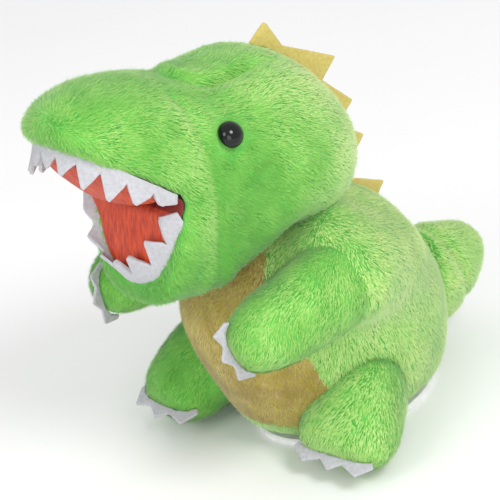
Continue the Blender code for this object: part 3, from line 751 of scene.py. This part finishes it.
def make_mouth_lining():
    """The satin lining: palate, fold and floor of the mouth in one piece of cloth."""
    across, down = 36, 60
    verts = []
    for row in range(down + 1):
        v = 2 * row / down - 1            # -1 at the front of the palate, 1 at the front of the jaw
        upper = v < 0
        slope, length = (PALATE_SLOPE, PALATE_LENGTH) if upper else (JAW_SLOPE, JAW_LENGTH)
        bulge = PALATE_BULGE if upper else FLOOR_BULGE
        reach = min(abs(v), 0.999)
        half = math.sqrt(1 - reach * reach)
        into_fold = float(smoothstep(np.array(0.22 - abs(v)), 0, 0.22))
        for column in range(across + 1):
            u = math.sin((2 * column / across - 1) * math.pi / 2)
            r = math.hypot(half * u, reach)
            turn = math.atan2(half * u, reach)
            depth = bulge * max(1 - r * r, 0) ** 0.55 * (1 - into_fold)
            point = lip_point(slope, length, turn, depth - 0.6 * MM, r)
            verts.append(point + Vector((0, 3.5 * MM * into_fold * (1 - u * u * half), 0)))
    faces = []
    for row in range(down):
        for column in range(across):
            a = row * (across + 1) + column
            faces.append((a, a + 1, a + across + 2, a + across + 1))
    obj = new_piece("mouth_satin", mesh_from("mouth_satin", verts, faces))
    smooth = obj.modifiers.new("Ease the fold", "SMOOTH")
    smooth.iterations = 3
    divide = obj.modifiers.new("Fine cloth", "SUBSURF")
    divide.levels = divide.render_levels = 1
    mesh = evaluated(obj)
    obj.modifiers.clear()
    obj.data = mesh
    co, normal = points_of(mesh), normals_of(mesh)
    pleats = lumps(co * [1.0, 0.3, 0.3], 2.2 * MM, 1.2)
    co = co + normal * (0.32 * MM * pleats)[:, None]
    set_points(mesh, co)
    mesh.shade_smooth()
    mesh.materials.append(SATIN)
    mesh.materials.append(SATIN_PAINTED_SHADE)
    centre = np.empty(len(mesh.polygons) * 3)
    mesh.polygons.foreach_get("center", centre)
    rel = centre.reshape(-1, 3) - np.array(CORNER)
    # Painted shade: faces deep in the fold and at the mouth's corners take the darker satin.
    deep = (np.linalg.norm(rel[:, 1:], axis=1) < 4.5 * MM) | (np.abs(rel[:, 0]) > 21.5 * MM) & (
        np.linalg.norm(rel[:, 1:], axis=1) < 9 * MM)
    mesh.polygons.foreach_set("material_index", deep.astype(np.int32))
    blend_mouth(obj)
    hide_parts("palate_lining", "mouth_lining")


def refined_felt(name, node, material):
    """A CAD felt solid with soft cut edges and the slight swell of pressed fibre."""
    shape = bmesh.new()
    shape.from_mesh(NODES[node].data)
    bmesh.ops.remove_doubles(shape, verts=shape.verts, dist=2e-5)
    bmesh.ops.dissolve_limit(
        shape, angle_limit=math.radians(4), verts=shape.verts, edges=shape.edges
    )
    mesh = bpy.data.meshes.new(name)
    shape.to_mesh(mesh)
    shape.free()
    obj = new_piece(name, mesh)
    bevel = obj.modifiers.new("Soft edges", "BEVEL")
    bevel.width = 0.3 * MM
    bevel.segments = 2
    bevel.limit_method = "ANGLE"
    bevel.angle_limit = math.radians(40)
    remesh = obj.modifiers.new("Fine mesh", "REMESH")
    remesh.mode = "VOXEL"
    remesh.voxel_size = 0.35 * MM
    ease = obj.modifiers.new("Ease", "SMOOTH")
    ease.iterations = 3
    mesh = evaluated(obj)
    obj.modifiers.clear()
    obj.data = mesh
    co, normal = points_of(mesh), normals_of(mesh)
    co = co + normal * (0.12 * MM * lumps(co, 1.3 * MM, 3.3))[:, None]
    set_points(mesh, co)
    mesh.shade_smooth()
    mesh.materials.clear()
    mesh.materials.append(material)
    body = NODES[node]["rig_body"]
    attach(obj, body)
    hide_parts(node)
    return obj


# ---------------------------------------------------------------- eyes, plate and what is inside

def make_eye(word):
    """A glossy dome where the CAD eye is."""
    node = f"eye_{word}"
    co = points_of(NODES[node].data)
    side = 1 if word == "left" else -1
    centre = co.mean(axis=0)
    _, _, axes = np.linalg.svd(co - centre)
    axis = axes[0] * np.sign(axes[0][0] * side)
    top = ((co - centre) @ axis).max()
    verts, faces = [], []
    rings, segments = 14, 40
    frame_x = unit(np.cross(axis, [0, 0, 1]))
    frame_y = np.cross(axis, frame_x)
    for ring in range(rings + 1):
        angle = math.radians(100) * ring / rings
        radius, height = EYE_RADIUS * math.sin(angle), EYE_HEIGHT * (math.cos(angle) - 1)
        for i in range(segments):
            turn = 2 * math.pi * i / segments
            verts.append(centre + axis * (top + 0.5 * MM + height)
                         + (frame_x * math.cos(turn) + frame_y * math.sin(turn)) * max(radius, 1e-6))
    for ring in range(rings):
        for i in range(segments):
            a, b = ring * segments + i, ring * segments + (i + 1) % segments
            faces.append((a, b, b + segments, a + segments))
    faces.append(tuple(range(rings * segments, (rings + 1) * segments))[::-1])
    mesh = mesh_from(f"eye_dome_{word}", verts, faces)
    shape = bmesh.new()
    shape.from_mesh(mesh)
    bmesh.ops.remove_doubles(shape, verts=shape.verts, dist=1e-5)
    bmesh.ops.recalc_face_normals(shape, faces=shape.faces)
    shape.to_mesh(mesh)
    shape.free()
    mesh.shade_smooth()
    obj = new_piece(f"eye_dome_{word}", mesh)
    mesh.materials.append(EYE_BLACK)
    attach(obj, "head")
    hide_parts(node)


def dress(node, material):
    """Gives a CAD node that shows, or lies inside, its finish."""
    mesh = NODES[node].data
    mesh.materials.clear()
    mesh.materials.append(material)


# ---------------------------------------------------------------- assembling

def dress_insides():
    for word in SIDES:
        dress(f"eye_washer_{word}", WASHER_WHITE)
    dress("weight_bag", BAG_CLOTH)
    dress("base_plate", PLATE_WHITE)


def head_tone(root):
    """How light each panel of the head looks: a paler band before the seam, the cheek behind it darker for
    its nap, the temples and nape paler with painted light, and the underside of the jaw darker with
    painted shade.
    """
    y, z = root[:, 1], root[:, 2]
    crown = smoothstep(crown_edge(root), 0, 1.5 * MM) * smoothstep(z, 0.130, 0.135)
    band = np.exp(-(((y + 0.0715) / 0.0035) ** 2)) * (1 - crown)
    behind = smoothstep(y, -0.0685, -0.0675) * (1 - smoothstep(y, -0.052, -0.036))
    cheek = behind * (1 - smoothstep(z, 0.116, 0.134))
    # Painted light: the temples and the nape get paler fur.
    temple = smoothstep(z, 0.116, 0.134) * smoothstep(y, -0.060, -0.040) * (1 - crown)
    nape = smoothstep(y, -0.036, -0.012)
    # Painted shade: the underside of the jaw gets darker fur.
    under = (1 - smoothstep(z, 0.082, 0.100)) * (1 - smoothstep(y, -0.050, -0.030))
    return 1.2 * band - 2.0 * cheek + 1.9 * temple + 3.6 * nape - 3.0 * under


def body_tone(root):
    """Lightest over the back and the shoulders: painted light, paler higher up and towards the back."""
    y, z = root[:, 1], root[:, 2]
    return 2.2 + 1.4 * smoothstep(z, 0.030, 0.070) + 0.7 * smoothstep(y, -0.035, 0.005)


def belly_tone(root):
    """Palest from the middle of the belly up: painted light, paler higher up."""
    return 1.3 * smoothstep(root[:, 2], 0.030, 0.055) - 0.6


def dress_mouth_head(head, body_shape):
    def keep(co):
        eyes = np.ones(len(co))
        for word in SIDES:
            low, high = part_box(f"eye_{word}")
            away = np.linalg.norm(co - np.array((low + high) / 2), axis=1)
            eyes *= 0.30 + 0.70 * smoothstep(away, 5.0 * MM, 9 * MM)
        return (1 - in_mouth(co)) * eyes * ~inside(body_shape[0], co, *body_shape[1:])

    fur = grow_fur("head_fur", head, (0, 0.75, -0.65), keep, GREEN_FUR, 11, tone=head_tone)
    for piece in (head, *fur):
        blend_mouth(piece)
    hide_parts("head_skin", "head_stuffing", "jaw_skin", "jaw_stuffing")


def dress_body(body, neighbours):
    def open_skin(co):
        free = smoothstep(co[:, 2], 2.2 * MM, 4.5 * MM)
        for shape in neighbours:
            free = free * ~inside(shape[0], co, *shape[1:])
        return free

    def flank(co):
        return open_skin(co) * (1 - belly_amount(co))

    def front(co):
        return open_skin(co) * belly_amount(co)

    green = grow_fur("body_fur", body, (0, 0.1, -1), flank, GREEN_FUR, 12, tone=body_tone)
    beige = grow_fur("belly_fur", body, (0, -0.2, -1), front, BEIGE_FUR, 13, tone=belly_tone, scale=0.8)
    for pieces, slot in (([body, *green], "plush_green"), (beige, "plush_beige")):
        for piece in pieces:
            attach(piece, "body")
    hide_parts("body_skin", "belly_panel", "body_stuffing")


def dress_limb(name, skin, body_shape, seed):
    def keep(co):
        return ~inside(body_shape[0], co, *body_shape[1:]) * smoothstep(co[:, 2], 0.0, 1.5 * MM)

    nap = {"arm": (0, -0.6, -0.8), "leg": (0, -0.65, -0.75), "tail": (0, 0.6, -0.8)}[name.split("_")[0]]
    # Painted light and shade: the limbs on the lit left side and the tail get paler fur, the right limbs
    # darker fur, partly painted shade and partly their nap, and every limb is paler towards the back.
    light = {"arm_left": 0.7, "leg_left": 2.2, "tail": 3.6}.get(name, -1.2)

    def tone(root):
        return light + max(0, 1.6 - light) * smoothstep(root[:, 1], -0.032, -0.008)

    fur = grow_fur(f"{name}_fur", skin, nap, keep, GREEN_FUR, seed, tone=tone)
    for piece in (skin, *fur):
        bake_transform(piece)
    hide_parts(f"{name}_skin", f"{name}_stuffing")


def main():
    head, body = make_head_skin(), make_body_skin()
    paint_belly(body)
    body_tree, body_shape = tree_of(body.data), closed_shape(body)
    limbs = {}
    for name in [f"{kind}_{word}" for word in SIDES for kind in ("arm", "leg")] + ["tail"]:
        limbs[name] = make_limb_skin(f"{name}_plush", [f"{name}_skin", f"{name}_stuffing"], body_tree)
    dress_mouth_head(head, body_shape)
    dress_body(body, [closed_shape(skin) for skin in (*limbs.values(), head)])
    for seed, (name, skin) in enumerate(limbs.items(), start=20):
        dress_limb(name, skin, body_shape, seed)
    make_mouth_lining()
    make_teeth()
    for word in SIDES:
        make_eye(word)
        for kind in ("arm", "leg"):
            node = f"{kind}_claws_{word}"
            refined_felt(node + "_felt", node, WHITE_FELT)
    for node in ("head_crest", "back_crest"):
        refined_felt(node + "_felt", node, YELLOW_FELT)
    dress_insides()


# ---------------------------------------------------------------- stage, light and camera

def area_light(name, place, target, size, power):
    lamp = bpy.data.lights.new(name, "AREA")
    lamp.shape = "DISK"
    lamp.size = size
    lamp.energy = power
    obj = bpy.data.objects.new(name, lamp)
    bpy.context.scene.collection.objects.link(obj)
    obj.location = place
    obj.rotation_mode = "QUATERNION"
    obj.rotation_quaternion = (Vector(place) - Vector(target)).to_track_quat("Z", "Y")


def make_stage():
    size = 3.0
    verts = [(-size, -size, 0), (size, -size, 0), (size, size, 0), (-size, size, 0)]
    floor = new_piece("floor", mesh_from("floor", verts, [(0, 1, 2, 3)]))
    pale = new_material("pale_floor", Roughness=0.8)
    ramp_colour(pale, noise_node(pale, 3), (0.88, 0.88, 0.88), (0.91, 0.91, 0.91))
    floor.data.materials.append(pale)
    world = bpy.data.worlds.new("studio")
    bpy.context.scene.world = world
    world.use_nodes = True
    world.node_tree.nodes["Background"].inputs["Color"].default_value = (1, 1, 1, 1)
    world.node_tree.nodes["Background"].inputs["Strength"].default_value = 0.80
    area_light("key", (0.75, -0.10, 0.85), (0, -0.03, 0.08), 0.40, 5.7)
    area_light("fill", (0.10, -0.75, 0.55), (0, -0.03, 0.08), 0.40, 1.8)
    area_light("low", (0.62, -0.55, 0.22), (0, -0.01, 0.04), 0.50, 1.5)
    bpy.context.scene.view_settings.view_transform = "Standard"


def make_camera():
    azimuth, elevation, roll, distance = 50, 26, 8, 0.70
    a, e = math.radians(azimuth), math.radians(elevation)
    back = Vector((math.sin(a) * math.cos(e), -math.cos(a) * math.cos(e), math.sin(e)))
    aim = Vector((-0.0355, -0.0045, 0.0498))
    data = bpy.data.cameras.new("camera")
    data.lens = 143.6
    data.sensor_width = 36
    camera = bpy.data.objects.new("camera", data)
    bpy.context.scene.collection.objects.link(camera)
    turn = (back.to_track_quat("Z", "Y").to_matrix() @ Matrix.Rotation(math.radians(-roll), 3, "Z"))
    camera.matrix_world = Matrix.Translation(aim + back * distance) @ turn.to_4x4()
    bpy.context.scene.camera = camera


make_camera()
make_stage()
main()
